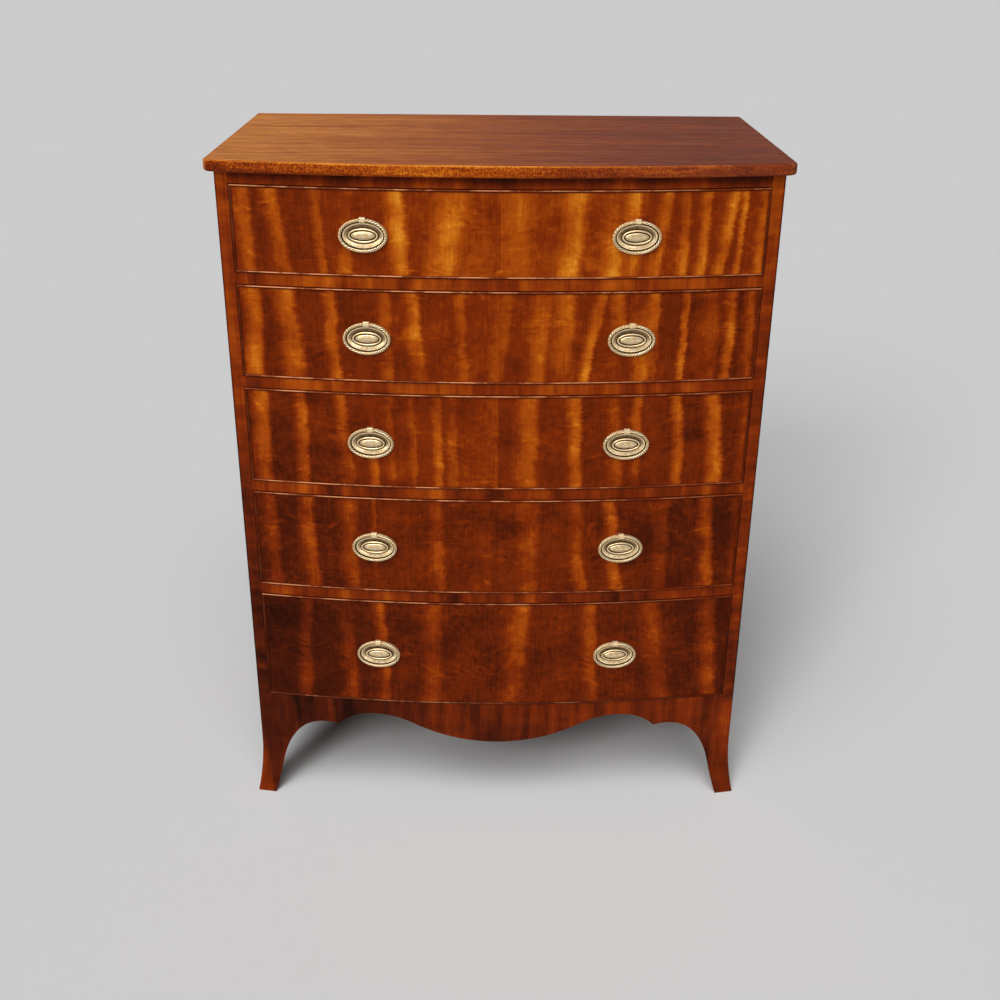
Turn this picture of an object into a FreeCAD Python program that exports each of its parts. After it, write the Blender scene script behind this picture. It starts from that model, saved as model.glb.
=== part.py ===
# Bow-front chest of five graduated drawers on splayed bracket feet.
# Millimetres. +Z is up, the front faces -Y, and the origin is on the floor under the middle
# of the chest's overall box. Every front face lies on one upright cylinder, the bow.
import FreeCAD
import Part

import math
import os

from FreeCAD import Vector

# ---------------------------------------------------------------- driving sizes

# Carcass
carcass_width = 864.0          # over the two sides
carcass_depth = 478.0          # front corner of a side to its back edge
side_thickness = 20.0
bow_rise = 38.0                # how far the middle of the front stands out past its corners
base_height = 211.0            # floor to the lowest drawer opening
drawer_openings = (137.0, 152.0, 166.0, 178.0, 208.0)   # heights, top drawer first
divider_thickness = 17.5
top_rail_thickness = 18.0
rail_depth = 62.0              # rails and dividers, measured along a side
bottom_thickness = 19.0
back_thickness = 10.0
back_board_count = 5
back_board_chamfer = 1.5
back_board_gap = 0.6

# Top board
top_thickness = 18.0
top_overhang = 15.0            # past the front and the sides
top_back_overhang = 5.0
top_corner_radius = 18.0
top_edge_radius = 4.0

# Joinery of the carcass
tenon_length = 10.0
tenon_thickness = 10.0
tenon_width = 36.0
tenon_setback = 13.0           # from the front corner to the tenon
joint_gap = 0.1                # all round a tenon or tongue
housing_depth = 6.0            # groove in a side for the carcass bottom
housing_setback = 30.0
runner_width = 38.0
dust_board_thickness = 6.0
dust_board_tongue = 8.0
dust_board_gap = 0.2

# Screws that hold the top board to its rails
screw_shank_radius = 2.3
screw_head_radius = 4.6
screw_head_height = 3.2
screw_length = 28.0
screw_gap = 0.06
screw_inset = 28.0             # from the rear edge of a rail to its screws
screw_column = 300.0           # from the middle of the chest to the outer screws

# Drawer
drawer_side_gap = 1.0          # front to carcass side
drawer_top_gap = 1.2
drawer_floor_gap = 0.3         # under the drawer, over its runners
drawer_rear_gap = 12.0         # back of the drawer to the back boards
front_thickness = 22.0
bead_width = 4.2
bead_proud = 2.1               # how far the beading stands out of the drawer front
bead_flats = 6                 # flats round its nose
bead_depth = 10.0
bead_gap = 0.3                 # behind the beading, in its rebate
drawer_side_thickness = 12.0
drawer_side_inset = 0.5        # drawer side behind the end of the drawer front
drawer_side_drop = 3.0         # drawer side below the top of the front
drawer_back_thickness = 12.0
drawer_back_drop = 6.0
drawer_bottom_thickness = 6.0
drawer_bottom_height = 12.0    # underside of the bottom, above the drawer's lower edge
groove_depth = 6.0
groove_gap = 0.2
tail_pitch = 36.0              # spacing of the dovetails
tail_width = 20.0              # of a tail at its shoulder
tail_slope = math.tan(math.radians(9.0))
tail_length = 7.5              # of the half-blind tails in the drawer front

# Drawer stops, under each drawer's bottom
stop_column = 260.0            # from the middle of the chest
stop_width = 30.0
stop_length = 20.0
stop_height = 7.0
stop_gap = 0.3

# Handles: an oval ring hung from a lug over an oval plate
handle_column = 207.5          # from the middle of the chest
handle_drop = 3.5              # middle of a ring below the middle of its opening
ring_width = 76.0
ring_height = 52.0
ring_band = 5.0                # width of the ring's band, seen from the front
ring_thickness = 4.5
ring_bevel = 1.2
ring_plate_gap = 0.6
plate_inset = 0.5              # edge of the plate inside the edge of the ring
plate_seat_gap = 0.05
# Turned profile of the plate: (inset from its edge, height off the drawer front)
plate_profile = ((0.0, 0.0), (0.0, 1.2), (5.2, 1.2), (6.6, 3.2), (9.6, 1.6), (14.0, 1.6),
                 (16.4, 3.8), (19.0, 2.4), (22.0, 4.0))
plate_flange = 1.2
lug_width = 9.5
lug_height = 7.2
lug_proud = 7.4                # front of the lug, off the drawer front
lug_rise = 2.0                 # top of the lug above the top of the ring
lug_edge_radius = 1.2
lug_side_gap = 0.35            # lug to the ends of the ring
pintle_radius = 1.5
pintle_gap = 0.05
shank_radius = 2.0
shank_gap = 0.1
shank_below_pivot = 1.0
nut_across_flats = 8.0
nut_thickness = 3.0
shank_past_nut = 1.5

# Base
bracket_thickness = 20.0
foot_flare = 13.0              # how far a foot splays past the carcass, at the floor
flare_height = 115.0           # where the splay begins
cusp_drop = 54.0               # cusp between bracket and apron, below the lowest drawer opening
# Inner edge of a bracket: (distance in from its corner, share of the cusp's height), from the toe
foot_curve = ((20.0, 0.0), (34.0, 0.325), (50.0, 0.662), (64.0, 0.822),
              (86.0, 0.959), (115.0, 1.019), (145.0, 1.0))
apron_peak_column = 222.0      # from the middle of the chest to the top of each hollow
apron_peak_drop = 26.5         # below the lowest drawer opening
apron_inflection = 150.0       # from the middle of the chest
apron_lobe_drop = 81.0         # lowest point of the apron, in the middle
side_apron_drop = 39.0
side_apron_end = 26.0          # length of the quarter round at each end
rear_bracket_length = 112.0
glue_block_size = 34.0
glue_block_height = 72.0       # corner blocks hang from the carcass bottom, behind the brackets
glue_strip_size = 20.0
glue_strip_length = 60.0
glue_strip_column = 100.0      # from the middle of the chest to the outer strips
glue_gap = 0.3

# Building aids
overcut = 1.0                  # how far a cutter or a fused piece runs past its face
tiny = 0.01                    # tolerance for picking edges

# ---------------------------------------------------------------- places worked out from them

half_width = carcass_width / 2
inner_half = half_width - side_thickness
top_half = half_width + top_overhang
overall_depth = top_overhang + bow_rise + carcass_depth + top_back_overhang
corner_y = -overall_depth / 2 + top_overhang + bow_rise
back_y = corner_y + carcass_depth
back_inner_y = back_y - back_thickness
rail_back_y = corner_y + rail_depth
bow_radius = (half_width ** 2 + bow_rise ** 2) / (2 * bow_rise)
bow_axis_y = corner_y - bow_rise + bow_radius
bow_front_y = bow_axis_y - bow_radius

carcass_foot_z = base_height - bottom_thickness


def opening_floors():
    """Floor heights of the drawer openings, top drawer first."""
    floors = []
    z = base_height
    for height in reversed(drawer_openings):
        floors.append(z)
        z += height + divider_thickness
    return floors[::-1]


drawer_floors = opening_floors()
top_rail_z = drawer_floors[0] + drawer_openings[0]
top_under_z = top_rail_z + top_rail_thickness
overall_height = top_under_z + top_thickness
cusp_inset = foot_curve[-1][0]
cusp_z = base_height - cusp_drop

ring_a = ring_width / 2
ring_b = ring_height / 2
pivot_out = plate_flange + ring_plate_gap + ring_thickness / 2
pivot_up = ring_b - ring_band / 2


# ---------------------------------------------------------------- helpers

def box(x0, x1, y0, y1, z0, z1):
    return Part.makeBox(x1 - x0, y1 - y0, z1 - z0, Vector(x0, y0, z0))


def mirrored(shape):
    return shape.mirror(Vector(0, 0, 0), Vector(1, 0, 0))


def pair(shape):
    """A right-hand piece and its left-hand twin."""
    return [mirrored(shape), shape]


def prism(edges, direction):
    return Part.Face(Part.Wire(edges)).extrude(direction)


def polygon_prism(points, direction):
    return Part.Face(Part.makePolygon(points + points[:1])).extrude(direction)


def line(a, b):
    return Part.makeLine(a, b)


def arc(a, middle, b):
    return Part.Arc(a, middle, b).toShape()


def bow_y(radius, x):
    """Front-to-back place of the cylinder of that radius about the bow's axis."""
    return bow_axis_y - math.sqrt(radius ** 2 - x ** 2)


def bow_point(radius, x, z):
    return Vector(x, bow_y(radius, x), z)


def bow_arc(radius, x0, x1, z):
    return arc(bow_point(radius, x0, z), bow_point(radius, (x0 + x1) / 2, z), bow_point(radius, x1, z))


def bowed_board(x0, x1, outer_radius, back, z0, z1):
    """A board with a bowed front and a straight back."""
    edges = [bow_arc(outer_radius, x0, x1, z0),
             line(bow_point(outer_radius, x1, z0), Vector(x1, back, z0)),
             line(Vector(x1, back, z0), Vector(x0, back, z0)),
             line(Vector(x0, back, z0), bow_point(outer_radius, x0, z0))]
    return prism(edges, Vector(0, 0, z1 - z0))


def bowed_slab(x0, x1, outer_radius, inner_radius, z0, z1):
    """A board of even thickness that follows the bow in front and behind."""
    edges = [bow_arc(outer_radius, x0, x1, z0),
             line(bow_point(outer_radius, x1, z0), bow_point(inner_radius, x1, z0)),
             bow_arc(inner_radius, x1, x0, z0),
             line(bow_point(inner_radius, x0, z0), bow_point(outer_radius, x0, z0))]
    return prism(edges, Vector(0, 0, z1 - z0))


def about_bow(shape, x):
    """Turns a shape made at the middle of the bow round to the place x along it."""
    turned = shape.copy()
    angle = math.degrees(math.asin(x / bow_radius))
    turned.rotate(Vector(0, bow_axis_y, 0), Vector(0, 0, 1), angle)
    return turned


def edges_where(shape, test):
    return [edge for edge in shape.Edges if test(edge.BoundBox)]


# ---------------------------------------------------------------- carcass

def make_top_board():
    bow = bow_radius + top_overhang
    board = bowed_board(-top_half, top_half, bow, overall_depth / 2, top_under_z, overall_height)
    front_corners = edges_where(board, lambda b: b.ZLength > top_thickness / 2 and b.YMax < 0)
    board = board.makeFillet(top_corner_radius, front_corners)

    def runs_round(b):
        return b.ZLength < tiny and not (b.YMin > overall_depth / 2 - tiny)

    board = board.makeFillet(top_edge_radius, edges_where(board, runs_round))
    for hole in screw_shapes(screw_gap):
        board = board.cut(hole)
    return board


def screw_places():
    rows = (rail_back_y - screw_inset, back_inner_y - screw_inset)
    return [(x, y) for y in rows for x in (-screw_column, 0, screw_column)]


def screw_shapes(gap):
    """The countersunk screws, or with a gap the holes that they go in."""
    shapes = []
    for x, y in screw_places():
        head = Part.makeCone(screw_head_radius + gap, screw_shank_radius + gap, screw_head_height,
                             Vector(x, y, top_rail_z))
        shank = Part.makeCylinder(screw_shank_radius + gap, screw_length + gap, Vector(x, y, top_rail_z))
        shapes.append(head.fuse(shank).removeSplitter())
    return shapes


def tenon(z_middle, gap):
    """Right-hand tenon of a rail, or with a gap its mortise."""
    return box(inner_half - overcut, inner_half + tenon_length + gap,
               corner_y + tenon_setback - gap, corner_y + tenon_setback + tenon_width + gap,
               z_middle - tenon_thickness / 2 - gap, z_middle + tenon_thickness / 2 + gap)


def rail_levels():
    """Bottom and top of the front top rail and of each divider, from the top down."""
    levels = [(top_rail_z, top_under_z)]
    for floor in drawer_floors[:-1]:
        levels.append((floor - divider_thickness, floor))
    return levels


def make_front_rail(z0, z1):
    rail = bowed_board(-inner_half, inner_half, bow_radius, rail_back_y, z0, z1)
    for piece in pair(tenon((z0 + z1) / 2, 0)):
        rail = rail.fuse(piece)
    return rail.removeSplitter()


def make_side():
    """The right-hand side."""
    side = bowed_board(inner_half, half_width, bow_radius, back_y, carcass_foot_z, top_under_z)
    rebate = box(inner_half, inner_half + side_thickness / 2, back_inner_y, back_y,
                 carcass_foot_z, top_under_z)
    side = side.cut(rebate)
    for z0, z1 in rail_levels():
        side = side.cut(tenon((z0 + z1) / 2, joint_gap))
    housing = box(inner_half, inner_half + housing_depth + joint_gap,
                  corner_y + housing_setback - joint_gap, back_inner_y, carcass_foot_z, base_height)
    return side.cut(housing)


def make_carcass_bottom():
    inner_face = bow_radius - bracket_thickness - glue_gap
    board = bowed_board(-inner_half, inner_half, inner_face, back_inner_y, carcass_foot_z, base_height)
    tongue = box(inner_half - overcut, inner_half + housing_depth, corner_y + housing_setback,
                 back_inner_y, carcass_foot_z, base_height)
    for piece in pair(tongue):
        board = board.fuse(piece)
    return board.removeSplitter()


def make_back_boards():
    """Upright boards side by side in the rebates, with their outer edges eased."""
    span = carcass_width - side_thickness
    pitch = span / back_board_count
    boards = []
    for index in range(back_board_count):
        x0 = -span / 2 + index * pitch + back_board_gap / 2
        board = box(x0, x0 + pitch - back_board_gap, back_inner_y, back_y, carcass_foot_z, top_under_z)
        outer = edges_where(board, lambda b: b.ZLength > pitch and b.YMin > back_y - tiny)
        boards.append(board.makeChamfer(back_board_chamfer, outer))
    return boards


def make_rear_top_rail():
    rail = box(-inner_half, inner_half, back_inner_y - rail_depth, back_inner_y, top_rail_z, top_under_z)
    return rail


def make_top_rails():
    rails = [make_front_rail(top_rail_z, top_under_z), make_rear_top_rail()]
    for hole in screw_shapes(screw_gap):
        rails = [rail.cut(hole) for rail in rails]
    return rails


def dust_groove(z_middle, x0, x1, y0, y1):
    half = dust_board_thickness / 2 + dust_board_gap
    return box(x0, x1, y0, y1, z_middle - half, z_middle + half)


def make_dividers():
    dividers = []
    for z0, z1 in rail_levels()[1:]:
        groove = dust_groove((z0 + z1) / 2, -inner_half + runner_width - dust_board_tongue,
                             inner_half - runner_width + dust_board_tongue,
                             rail_back_y - dust_board_tongue, rail_back_y)
        dividers.append(make_front_rail(z0, z1).cut(groove))
    return dividers


def make_runners():
    """Runners beside each dust board, and the two kickers over the top drawer."""
    pieces = []
    for z0, z1 in rail_levels()[1:]:
        runner = box(inner_half - runner_width, inner_half, rail_back_y, back_inner_y, z0, z1)
        groove = dust_groove((z0 + z1) / 2, inner_half - runner_width,
                             inner_half - runner_width + dust_board_tongue, rail_back_y, back_inner_y)
        pieces += pair(runner.cut(groove))
    kicker = box(inner_half - runner_width, inner_half, rail_back_y, back_inner_y - rail_depth,
                 top_rail_z, top_under_z)
    return pieces + pair(kicker)


def make_dust_boards():
    half = inner_half - runner_width + dust_board_tongue - dust_board_gap
    boards = []
    for z0, z1 in rail_levels()[1:]:
        z = (z0 + z1) / 2
        boards.append(box(-half, half, rail_back_y - dust_board_tongue + dust_board_gap, back_inner_y,
                          z - dust_board_thickness / 2, z + dust_board_thickness / 2))
    return boards


def make_stops():
    """Two blocks behind each drawer front, standing on what carries the drawer."""
    x0 = stop_column - stop_width / 2
    x1 = stop_column + stop_width / 2
    y0 = bow_y(bow_radius - front_thickness, x1) + stop_gap
    stops = []
    for floor in drawer_floors:
        stops += pair(box(x0, x1, y0, y0 + stop_length, floor, floor + stop_height))
    return stops


# ---------------------------------------------------------------- base

def flare_arc(place, z_reach):
    """The splay from the floor up, as an edge. place(out, z) gives a point that far out."""
    radius = (flare_height ** 2 + foot_flare ** 2) / (2 * foot_flare)
    middle = flare_height / 2
    out = radius - math.sqrt(radius ** 2 - (flare_height - middle) ** 2)
    return [arc(place(foot_flare, 0), place(out, middle), place(0, flare_height)),
            line(place(0, flare_height), place(0, z_reach))]


def flared_front():
    """Everything behind the bowed face of the base, splayed at the floor."""
    deep = carcass_depth

    def place(out, z):
        return Vector(0, bow_front_y - out, z)

    edges = flare_arc(place, base_height)
    edges.append(line(place(0, base_height), place(-deep, base_height)))
    edges.append(line(place(-deep, base_height), place(-deep, 0)))
    edges.append(line(place(-deep, 0), place(foot_flare, 0)))
    face = Part.Face(Part.Wire(edges))
    spread = math.degrees(math.asin((half_width + 2 * foot_flare) / bow_radius))
    face.rotate(Vector(0, bow_axis_y, 0), Vector(0, 0, 1), -spread)
    return face.revolve(Vector(0, bow_axis_y, 0), Vector(0, 0, 1), 2 * spread)


def flared_side(y0, y1, inner_x):
    """Everything outside inner_x on the right, splayed at the floor."""

    def place(out, z):
        return Vector(half_width + out, y0, z)

    edges = flare_arc(place, base_height)
    edges.append(line(place(0, base_height), Vector(inner_x, y0, base_height)))
    edges.append(line(Vector(inner_x, y0, base_height), Vector(inner_x, y0, 0)))
    edges.append(line(Vector(inner_x, y0, 0), place(foot_flare, 0)))
    return prism(edges, Vector(0, y1 - y0, 0))


def arch_edges(place):
    """The shaped inner edge of a bracket, closed round the space under it. place(inset, z)."""
    curve = Part.BSplineCurve()
    curve.interpolate([place(inset, share * cusp_z) for inset, share in foot_curve])
    toe = place(foot_curve[0][0], 0)
    cusp = place(cusp_inset, cusp_z)
    floor = place(cusp_inset, 0)
    return [curve.toShape(), line(cusp, floor), line(floor, toe)]


def front_arch(y0, y1):
    """Space between the toe and the cusp, under the front bracket on the right."""
    return prism(arch_edges(lambda inset, z: Vector(half_width - inset, y0, z)), Vector(0, y1 - y0, 0))


def side_arch(start_y, direction, toe_extra):
    """The same space seen from the side, from a corner at start_y along direction."""
    def place(inset, z):
        return Vector(inner_half - overcut, start_y + direction * (inset + toe_extra), z)

    return prism(arch_edges(place), Vector(bracket_thickness + 3 * foot_flare, 0, 0))


def make_front_foot():
    """Right-hand front foot: two mitred brackets, each bowed or straight, that splay at the floor."""
    inner_x = half_width - bracket_thickness
    inner_front = bow_radius - bracket_thickness
    x_end = half_width - cusp_inset
    y_end = corner_y + cusp_inset
    block = flared_front().common(flared_side(corner_y - 3 * foot_flare, y_end, x_end))
    hollow = bowed_board(0, inner_x, inner_front, back_y, 0, base_height)
    block = block.cut(hollow)
    above_side = box(inner_half, top_half, corner_y - top_overhang, y_end, carcass_foot_z, base_height)
    block = block.cut(above_side)
    split_y = bow_y(inner_front, inner_x)
    block = block.cut(front_arch(bow_front_y - 2 * foot_flare, split_y))
    block = block.cut(side_arch(corner_y, 1, 0))
    # The mitre runs from the inner corner to the tip of the toe.
    inner = Vector(inner_x, split_y, 0)
    tip = bow_point(bow_radius + foot_flare, half_width + foot_flare, 0)
    along = (tip - inner).normalize()
    reach = 4 * bracket_thickness
    side_half = polygon_prism([inner - along * reach, inner + along * reach,
                               inner + along * reach + Vector(0, cusp_inset * 3, 0),
                               inner - along * reach + Vector(0, cusp_inset * 3, 0)],
                              Vector(0, 0, base_height))
    return [block.cut(side_half), block.common(side_half)]


def make_rear_foot():
    """Right-hand rear foot: a bracket that splays to the side, and a plain one across the back."""
    inner_x = half_width - bracket_thickness
    length = cusp_inset + foot_flare
    side = flared_side(back_y - length, back_y, inner_x)
    side = side.common(box(0, 2 * half_width, back_y - length, back_y, 0, carcass_foot_z))
    side = side.cut(side_arch(back_y, -1, foot_flare))
    brace = box(inner_x - rear_bracket_length, inner_x, back_y - bracket_thickness, back_y,
                0, carcass_foot_z)
    inset = bracket_thickness + foot_flare
    scoop = Part.makeCylinder(1, bracket_thickness, Vector(0, 0, 0), Vector(0, 1, 0))  # scaled below
    stretch = FreeCAD.Matrix()
    stretch.scale(Vector(rear_bracket_length - inset + bracket_thickness, 1, cusp_z))
    scoop = scoop.transformGeometry(stretch)
    scoop.translate(Vector(inner_x - rear_bracket_length, back_y - bracket_thickness, 0))
    return [side, brace.cut(scoop)]


def make_front_apron():
    """Apron between the two brackets, with a lobe in the middle and a hollow each side of it."""
    end_x = half_width - cusp_inset
    peak_x = apron_peak_column
    peak_z = base_height - apron_peak_drop
    lobe_bottom_z = base_height - apron_lobe_drop
    fall = (peak_z - lobe_bottom_z) * apron_inflection / peak_x
    y = bow_front_y - overcut

    def at(x, z):
        return Vector(x, y, z)

    def lobe_z(x):
        radius = (apron_inflection ** 2 + fall ** 2) / (2 * fall)
        return lobe_bottom_z + radius - math.sqrt(radius ** 2 - x ** 2)

    def hollow_z(x, span, drop):
        radius = (span ** 2 + drop ** 2) / (2 * drop)
        return peak_z - radius + math.sqrt(radius ** 2 - (x - peak_x) ** 2)

    inner_span = peak_x - apron_inflection
    inner_drop = peak_z - lobe_bottom_z - fall
    turn_z = lobe_bottom_z + fall
    outer_span = end_x - peak_x
    outer_drop = peak_z - cusp_z
    half_in = apron_inflection + inner_span / 2
    half_out = peak_x + outer_span / 2
    edges = [arc(at(-apron_inflection, turn_z), at(0, lobe_z(0)), at(apron_inflection, turn_z))]
    for sign in (1, -1):
        edges.append(arc(at(sign * apron_inflection, turn_z),
                         at(sign * half_in, hollow_z(half_in, inner_span, inner_drop)),
                         at(sign * peak_x, peak_z)))
        edges.append(arc(at(sign * peak_x, peak_z),
                         at(sign * half_out, hollow_z(half_out, outer_span, outer_drop)),
                         at(sign * end_x, cusp_z)))
        edges.append(line(at(sign * end_x, cusp_z), at(sign * end_x, base_height)))
    edges.append(line(at(-end_x, base_height), at(end_x, base_height)))
    outline = Part.Face(Part.Wire(Part.__sortEdges__(edges))).extrude(Vector(0, 4 * bow_rise, 0))
    slab = bowed_slab(-end_x, end_x, bow_radius, bow_radius - bracket_thickness, 0, base_height)
    return slab.common(outline)


def make_side_apron():
    """Right-hand side apron, between the front and rear brackets."""
    y0 = corner_y + cusp_inset
    y1 = back_y - cusp_inset - foot_flare
    x = half_width - bracket_thickness
    top_z = base_height - side_apron_drop
    rise = top_z - cusp_z
    lift = rise * math.sin(math.pi / 4)
    run = side_apron_end * (1 - math.cos(math.pi / 4))

    def at(y, z):
        return Vector(x, y, z)

    edges = [arc(at(y0, cusp_z), at(y0 + run, cusp_z + lift), at(y0 + side_apron_end, top_z)),
             line(at(y0 + side_apron_end, top_z), at(y1 - side_apron_end, top_z)),
             arc(at(y1 - side_apron_end, top_z), at(y1 - run, cusp_z + lift), at(y1, cusp_z)),
             line(at(y1, cusp_z), at(y1, carcass_foot_z)),
             line(at(y1, carcass_foot_z), at(y0, carcass_foot_z)),
             line(at(y0, carcass_foot_z), at(y0, cusp_z))]
    return prism(edges, Vector(bracket_thickness, 0, 0))


def make_glue_blocks():
    """Blocks that hold the base to the carcass bottom, in the corners and behind the aprons."""
    inner_x = half_width - bracket_thickness
    inner_bow = bow_radius - bracket_thickness
    corner_front = bow_y(inner_bow, inner_x) + glue_gap
    rear_face = back_y - bracket_thickness
    low = carcass_foot_z - glue_block_height
    pieces = pair(box(inner_x - glue_block_size, inner_x, corner_front, corner_front + glue_block_size,
                      low, carcass_foot_z))
    pieces += pair(box(inner_x - glue_block_size, inner_x, rear_face - glue_block_size, rear_face,
                       low, carcass_foot_z))
    for column in (-glue_strip_column, 0, glue_strip_column):
        reach = abs(column) + glue_strip_length / 2
        y0 = bow_y(inner_bow, reach) + glue_gap
        pieces.append(box(column - glue_strip_length / 2, column + glue_strip_length / 2,
                          y0, y0 + glue_strip_size, carcass_foot_z - glue_strip_size, carcass_foot_z))
    middle_y = (corner_y + back_y - foot_flare) / 2
    pieces += pair(box(inner_x - glue_strip_size, inner_x, middle_y - glue_strip_length / 2,
                       middle_y + glue_strip_length / 2, carcass_foot_z - glue_strip_size,
                       carcass_foot_z))
    return pieces


# ---------------------------------------------------------------- drawers

class DrawerSizes:
    """Where one drawer's pieces start and end."""

    def __init__(self, index):
        self.bottom = drawer_floors[index] + drawer_floor_gap
        self.top = drawer_floors[index] + drawer_openings[index] - drawer_top_gap
        self.half = inner_half - drawer_side_gap
        self.side_x1 = self.half - drawer_side_inset
        self.side_x0 = self.side_x1 - drawer_side_thickness
        self.shoulder_y = bow_y(bow_radius - front_thickness, self.side_x0)
        self.rear_y = back_inner_y - drawer_rear_gap
        self.side_top = self.top - drawer_side_drop
        self.floor_z0 = self.bottom + drawer_bottom_height
        self.floor_z1 = self.floor_z0 + drawer_bottom_thickness
        self.back_top = self.top - drawer_back_drop
        self.handle_z = drawer_floors[index] + drawer_openings[index] / 2 - handle_drop


def tail_centres(low, high):
    """Heights of evenly spaced dovetails between two heights."""
    count = max(2, int((high - low) / tail_pitch))
    pitch = (high - low) / count
    return [low + pitch * (step + 0.5) for step in range(count)]


def dovetails(drawer, low, high, y_root, y_end):
    """Right-hand tails of a drawer side, from the shoulder at y_root out to y_end."""
    widen = abs(y_end - y_root) * tail_slope
    half = tail_width / 2
    tails = []
    for z in tail_centres(low, high):
        points = [Vector(drawer.side_x0, y_root, z - half), Vector(drawer.side_x0, y_root, z + half),
                  Vector(drawer.side_x0, y_end, z + half + widen),
                  Vector(drawer.side_x0, y_end, z - half - widen)]
        tails.append(polygon_prism(points, Vector(drawer_side_thickness, 0, 0)))
    return tails


def front_tails(drawer):
    return dovetails(drawer, drawer.bottom, drawer.side_top, drawer.shoulder_y,
                     drawer.shoulder_y - tail_length)


def back_tails(drawer):
    return dovetails(drawer, drawer.floor_z1, drawer.back_top, drawer.rear_y - drawer_back_thickness,
                     drawer.rear_y)


def make_drawer_side(drawer):
    """Right-hand drawer side, dovetailed at both ends and grooved for the bottom."""
    shoulder = drawer.rear_y - drawer_back_thickness
    side = box(drawer.side_x0, drawer.side_x1, drawer.shoulder_y, shoulder, drawer.bottom, drawer.side_top)
    heel = box(drawer.side_x0, drawer.side_x1, shoulder, drawer.rear_y, drawer.bottom, drawer.floor_z1)
    side = side.multiFuse([heel] + front_tails(drawer) + back_tails(drawer)).removeSplitter()
    groove = box(drawer.side_x0, drawer.side_x0 + groove_depth, drawer.shoulder_y, drawer.rear_y,
                 drawer.floor_z0, drawer.floor_z1 + groove_gap)
    return side.cut(groove)


def make_drawer_back(drawer):
    back = box(-drawer.side_x1, drawer.side_x1, drawer.rear_y - drawer_back_thickness, drawer.rear_y,
               drawer.floor_z1, drawer.back_top)
    for tail in back_tails(drawer):
        for piece in pair(tail):
            back = back.cut(piece)
    return back


def make_drawer_bottom(drawer):
    """Thin bottom, tongued into the sides and the bowed front, and run out under the back."""
    reach = drawer.side_x0 + groove_depth - groove_gap
    panel = box(-reach, reach, drawer.shoulder_y + groove_gap, drawer.rear_y, drawer.floor_z0,
                drawer.floor_z1)
    inner = bow_radius - front_thickness + groove_depth - groove_gap
    nose = bowed_board(-drawer.side_x0 + groove_gap, drawer.side_x0 - groove_gap, inner,
                       drawer.shoulder_y + overcut, drawer.floor_z0, drawer.floor_z1)
    return panel.fuse(nose).removeSplitter()


def make_drawer_front(drawer):
    """Bowed front, rebated for the beading, socketed for the dovetails and bored for the handles."""
    inner = bow_radius - front_thickness
    rebate_wall = bow_radius - bead_depth
    half = drawer.half
    front = bowed_slab(-half + bead_width, half - bead_width, bow_radius, rebate_wall,
                       drawer.bottom + bead_width, drawer.top - bead_width)
    front = front.fuse(bowed_slab(-half, half, rebate_wall, inner, drawer.bottom, drawer.top))
    front = front.removeSplitter()
    land = box(drawer.side_x0, half + overcut, drawer.shoulder_y, drawer.shoulder_y + front_thickness,
               drawer.bottom - overcut, drawer.top + overcut)
    for cutter in [land] + front_tails(drawer):
        for piece in pair(cutter):
            front = front.cut(piece)
    groove = bowed_slab(-drawer.side_x0, drawer.side_x0, inner + groove_depth, inner - overcut,
                        drawer.floor_z0, drawer.floor_z1 + groove_gap)
    front = front.cut(groove)
    bore = Part.makeCylinder(shank_radius + shank_gap, front_thickness + 2 * overcut,
                             Vector(0, bow_front_y - overcut,
                                    drawer.handle_z + pivot_up - shank_below_pivot),
                             Vector(0, 1, 0))
    for side in (-1, 1):
        front = front.cut(about_bow(bore, side * handle_column))
    return front


def bead_section(to_point):
    """Outline of the beading: a strip whose nose is rounded in flats. to_point(out, across)."""
    half = bead_width / 2
    back = -bead_depth + bead_gap
    points = [to_point(back, half), to_point(back, -half)]
    for step in range(bead_flats + 1):
        turn = math.pi * (step / bead_flats - 0.5)
        points.append(to_point(bead_proud - half + half * math.cos(turn), half * math.sin(turn)))
    return Part.makePolygon(points + points[:1]).Edges


def make_beading(drawer):
    """Four mitred strips round the drawer front: bottom, top, left and right."""
    half = drawer.half
    spread = math.degrees(math.asin(half / (bow_radius - bead_depth))) * 1.02
    strips = []
    for z_outer, inward in ((drawer.bottom, 1), (drawer.top, -1)):
        z = z_outer + inward * bead_width / 2

        def place(out, across):
            return Vector(0, bow_front_y - out, z + across)

        face = Part.Face(Part.Wire(bead_section(place)))
        face.rotate(Vector(0, bow_axis_y, 0), Vector(0, 0, 1), -spread)
        strip = face.revolve(Vector(0, bow_axis_y, 0), Vector(0, 0, 1), 2 * spread)
        z_low = z_outer - inward * bead_width
        z_high = z_outer + 2 * inward * bead_width
        start = bow_front_y - 2 * bead_width
        mitre = polygon_prism([Vector(-half - bead_width, start, z_low),
                               Vector(half + bead_width, start, z_low),
                               Vector(half - 2 * bead_width, start, z_high),
                               Vector(2 * bead_width - half, start, z_high)],
                              Vector(0, 2 * bow_rise + 2 * bead_depth, 0))
        strips.append(strip.common(mitre))
    middle = half - bead_width / 2
    face_y = bow_y(bow_radius, middle)

    def place_end(out, across):
        return Vector(middle + across, face_y - out, drawer.bottom)

    post = prism(bead_section(place_end), Vector(0, 0, drawer.top - drawer.bottom))
    start = face_y - 2 * bead_width
    over = half + bead_width
    under = half - 2 * bead_width
    mitre = polygon_prism([Vector(over, start, drawer.bottom - bead_width),
                           Vector(over, start, drawer.top + bead_width),
                           Vector(under, start, drawer.top - 2 * bead_width),
                           Vector(under, start, drawer.bottom + 2 * bead_width)],
                          Vector(0, 4 * bead_depth, 0))
    return strips + pair(post.common(mitre))


# ---------------------------------------------------------------- handles

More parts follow.
